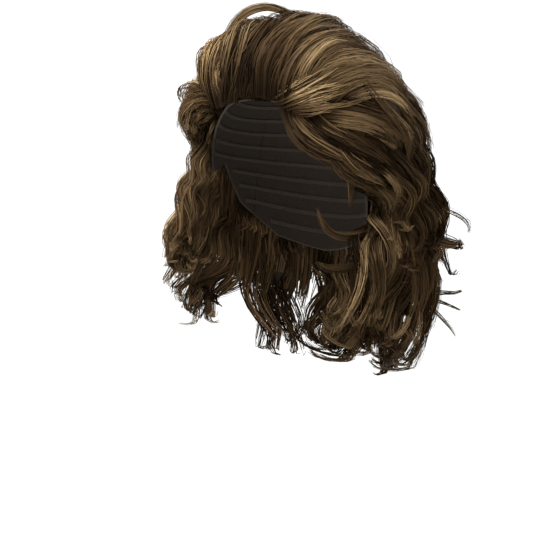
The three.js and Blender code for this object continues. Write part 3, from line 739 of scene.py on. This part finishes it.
def panel_piece(panel, material):
    """One panel of the cap, as a smooth wall that ends just short of the seams."""
    columns, rows = panel["columns"], panel["rows"]
    whole = panel["az"][1] - panel["az"][0] >= 360
    margin = 0 if whole else SEAM
    az = np.linspace(panel["az"][0] + margin, panel["az"][1] - margin, columns + 1)
    low = np.maximum(cap_edge(az), panel["el"][0] + SEAM)
    high = panel["el"][1] if panel["el"][1] == 90 else panel["el"][1] - SEAM
    el = low[:, None] + (high - low)[:, None] * np.linspace(0, 1, rows + 1)
    u = direction(np.broadcast_to(az[:, None], el.shape), el)
    inner, normal = on_head(u, np.zeros(el.shape), hangs=False)
    points = np.stack([inner, inner + normal * CAP_WALL])

    inside, outside = np.arange(points[..., 0].size).reshape(points.shape[:3])
    walls = [
        (outside[:-1, :-1], outside[1:, :-1], outside[1:, 1:], outside[:-1, 1:]),
        (inside[:-1, :-1], inside[:-1, 1:], inside[1:, 1:], inside[1:, :-1]),
        (inside[:-1, 0], inside[1:, 0], outside[1:, 0], outside[:-1, 0]),
    ]
    if high < 90:
        walls.append((outside[:-1, -1], outside[1:, -1], inside[1:, -1], inside[:-1, -1]))
    if not whole:
        walls.append((inside[0, :-1], outside[0, :-1], outside[0, 1:], inside[0, 1:]))
        walls.append((outside[-1, :-1], inside[-1, :-1], inside[-1, 1:], outside[-1, 1:]))
    quads = np.concatenate([np.stack(wall, axis=-1).reshape(-1, 4) for wall in walls])
    piece = mesh_object(panel["node"] + "_knit", points.reshape(-1, 3), quads, material)

    mend(piece, lambda form: bmesh.ops.remove_doubles(form, verts=form.verts, dist=MERGE))
    return piece


def tape_piece(name, material):
    """The rows of tape on the inside of the cap, which lie round its back and stop short of its edge."""
    columns = TAPES["columns"]
    rise = np.broadcast_to(np.array([-1, 1, 1, -1]) * TAPES["half_width"], (columns, 4))
    lift = np.broadcast_to(np.array([0, 0, -1, -1]) * TAPE_THICKNESS, (columns, 4))
    turn = np.linspace(0, 180, EDGE_SAMPLES)
    vertices, quads = [], []
    for row in range(TAPES["rows"]):
        el = TAPES["lowest"] + TAPES["step"] * row
        over_edge = cap_edge(turn) > el - TAPES["margin"]
        whole = not over_edge.any()
        start = 0 if whole else turn[over_edge].max() + TAPES["margin"]
        az = np.linspace(start, 360 - start, columns, endpoint=not whole)
        u = direction(np.broadcast_to(az[:, None], (columns, 4)), el + rise)
        points = on_head(u, lift, hangs=False)[0]
        base = 4 * columns * row
        here = np.arange(columns if whole else columns - 1)
        there = (here + 1) % columns
        for side in range(4):
            corner = (side + 1) % 4
            ring = [4 * here + side, 4 * there + side, 4 * there + corner, 4 * here + corner]
            quads.append(base + np.stack(ring, axis=-1))
        if not whole:
            quads.append(base + np.array([[0, 1, 2, 3]]))
            quads.append(base + 4 * (columns - 1) + np.array([[3, 2, 1, 0]]))
        vertices.append(points.reshape(-1, 3))
    piece = mesh_object(name, np.concatenate(vertices), np.concatenate(quads), material)
    mend(piece, lambda form: bmesh.ops.recalc_face_normals(form, faces=form.faces))
    return piece


def new_material(name):
    material = bpy.data.materials.new(name)
    material.use_nodes = True
    nodes, links = material.node_tree.nodes, material.node_tree.links
    return material, nodes, links, nodes["Principled BSDF"]


def hair_colours(nodes):
    """A node that reads the fairness of the hair, and the ramp of colours for it."""
    fairness = nodes.new("ShaderNodeAttribute")
    fairness.attribute_name = "fairness"
    ramp = nodes.new("ShaderNodeValToRGB")
    stops = ramp.color_ramp.elements
    while len(stops) < len(HAIR_COLOURS):
        stops.new(0.5)
    for stop, (place, colour) in zip(stops, HAIR_COLOURS):
        stop.position = place
        stop.color = (*colour, 1)
    return fairness, ramp


def hair_material():
    """Fibre with a faint gloss, from dark brown to ash blonde by each strand's fairness."""
    material, nodes, links, shader = new_material("hair_fibre")
    fairness, ramp = hair_colours(nodes)
    links.new(fairness.outputs["Fac"], ramp.inputs["Fac"])
    links.new(ramp.outputs["Color"], shader.inputs["Base Color"])
    shader.inputs["Roughness"].default_value = ROUGHNESS["hair"]
    gloss = nodes.new("ShaderNodeMapRange")
    gloss.inputs["To Min"].default_value = HAIR_GLOSS[0]
    gloss.inputs["To Max"].default_value = HAIR_GLOSS[1]
    links.new(fairness.outputs["Fac"], gloss.inputs["Value"])
    links.new(gloss.outputs["Result"], shader.inputs["Specular IOR Level"])
    shader.inputs["Specular Tint"].default_value = (*SHEEN_COLOUR, 1)
    return material


def core_material():
    """The inside of the hair, darker than its strands as painted shade, and streaked along its fall."""
    material, nodes, links, shader = new_material("hair_depth")
    fairness, ramp = hair_colours(nodes)
    shaded = nodes.new("ShaderNodeMath")
    shaded.operation = "MULTIPLY"
    place = nodes.new("ShaderNodeTexCoord")
    stretch = nodes.new("ShaderNodeMapping")
    stretch.inputs["Scale"].default_value = DEPTH_STREAKS
    noise = nodes.new("ShaderNodeTexNoise")
    noise.inputs["Scale"].default_value = 1.0
    noise.inputs["Detail"].default_value = 3.0
    links.new(place.outputs["Object"], stretch.inputs["Vector"])
    links.new(stretch.outputs["Vector"], noise.inputs["Vector"])
    # Noise scales the fairness down, so that the inside is darker than the strands: painted shade
    links.new(fairness.outputs["Fac"], shaded.inputs[0])
    links.new(noise.outputs["Fac"], shaded.inputs[1])
    links.new(shaded.outputs["Value"], ramp.inputs["Fac"])
    links.new(ramp.outputs["Color"], shader.inputs["Base Color"])
    shader.inputs["Roughness"].default_value = ROUGHNESS["depth"]
    shader.inputs["Specular IOR Level"].default_value = GLOSS["depth"]
    return material


def cap_material(name, colours):
    """Dark stretch knit."""
    material, nodes, links, shader = new_material(name)
    place = nodes.new("ShaderNodeTexCoord")
    knit = nodes.new("ShaderNodeTexVoronoi")
    knit.inputs["Scale"].default_value = KNIT_SCALE
    ramp = nodes.new("ShaderNodeValToRGB")
    for stop, colour in zip(ramp.color_ramp.elements, colours):
        stop.color = (*colour, 1)
    bump = nodes.new("ShaderNodeBump")
    for measure, value in KNIT_BUMP.items():
        bump.inputs[measure].default_value = value
    links.new(place.outputs["Object"], knit.inputs["Vector"])
    links.new(knit.outputs["Distance"], ramp.inputs["Fac"])
    links.new(ramp.outputs["Color"], shader.inputs["Base Color"])
    links.new(knit.outputs["Distance"], bump.inputs["Height"])
    links.new(bump.outputs["Normal"], shader.inputs["Normal"])
    shader.inputs["Roughness"].default_value = ROUGHNESS["cap"]
    shader.inputs["Specular IOR Level"].default_value = GLOSS["cap"]
    return material


def make_camera():
    a, r = math.radians(CAMERA_AZIMUTH), math.radians(CAMERA_ROLL)
    back = Vector((math.sin(a), -math.cos(a), 0))
    level = Vector((math.cos(a), math.sin(a), 0))
    upright = Vector((0, 0, 1))
    right = math.cos(r) * level + math.sin(r) * upright
    up = -math.sin(r) * level + math.cos(r) * upright
    aim = Vector(CENTRE) - HEAD_IN_FRAME[0] * right - HEAD_IN_FRAME[1] * up
    data = bpy.data.cameras.new("camera")
    data.sensor_width = SENSOR
    data.lens = SENSOR * CAMERA_DISTANCE / FRAME_WIDTH
    camera = bpy.data.objects.new("camera", data)
    turn = Matrix((right, up, back)).transposed().to_4x4()
    camera.matrix_world = Matrix.Translation((aim + CAMERA_DISTANCE * back) * MM) @ turn
    bpy.context.scene.collection.objects.link(camera)
    bpy.context.scene.camera = camera


def make_floor(height):
    bpy.ops.mesh.primitive_circle_add(
        vertices=FLOOR_SIDES, radius=FLOOR_RADIUS, fill_type="NGON", location=(0, 0, height)
    )
    floor = bpy.context.object
    floor.name = "floor"
    material, *_, shader = new_material("floor_paint")
    shader.inputs["Base Color"].default_value = (*FLOOR_COLOUR, 1)
    shader.inputs["Roughness"].default_value = ROUGHNESS["floor"]
    floor.data.materials.append(material)


def area_light(name, azimuth, elevation, distance, size, power):
    data = bpy.data.lights.new(name, "AREA")
    data.shape = "DISK"
    data.size = size
    data.energy = power
    light = bpy.data.objects.new(name, data)
    middle = Vector(CENTRE * MM)
    way = Vector(direction(azimuth, elevation))
    light.location = middle + distance * way
    light.rotation_mode = "QUATERNION"
    light.rotation_quaternion = way.to_track_quat("Z", "Y")
    bpy.context.scene.collection.objects.link(light)


def make_light():
    world = bpy.data.worlds.new("studio")
    world.use_nodes = True
    sky = world.node_tree.nodes["Background"]
    sky.inputs["Color"].default_value = (1, 1, 1, 1)
    sky.inputs["Strength"].default_value = SKY_STRENGTH
    bpy.context.scene.world = world
    for light in LIGHTS:
        area_light(**light)
    bpy.context.scene.view_settings.view_transform = "Standard"


make_camera()
locks = all_locks()
fibre = hair_material()
for name, node, looks in HAIR_PIECES:
    chosen = [lock for lock in locks if lock["node"] == node and lock["kind"] in looks]
    strands = hair_piece(name, chosen, fibre)
    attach(strands, "root")
    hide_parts(node)

thick = [lock for lock in locks if lock["width"] > CORE_THINNEST and lock["kind"] != "cover"]
core = core_piece("hair_depth", thick, core_material())
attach(core, "root")

knit = cap_material("cap_knit", CAP_COLOURS)
for panel in CAP_PANELS:
    piece = panel_piece(panel, knit)
    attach(piece, "root")
    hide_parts(panel["node"])

tapes = tape_piece("cap_tapes", cap_material("cap_tape", TAPE_COLOURS))
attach(tapes, "root")

make_floor(cad_low.z - FLOOR_BELOW)
make_light()
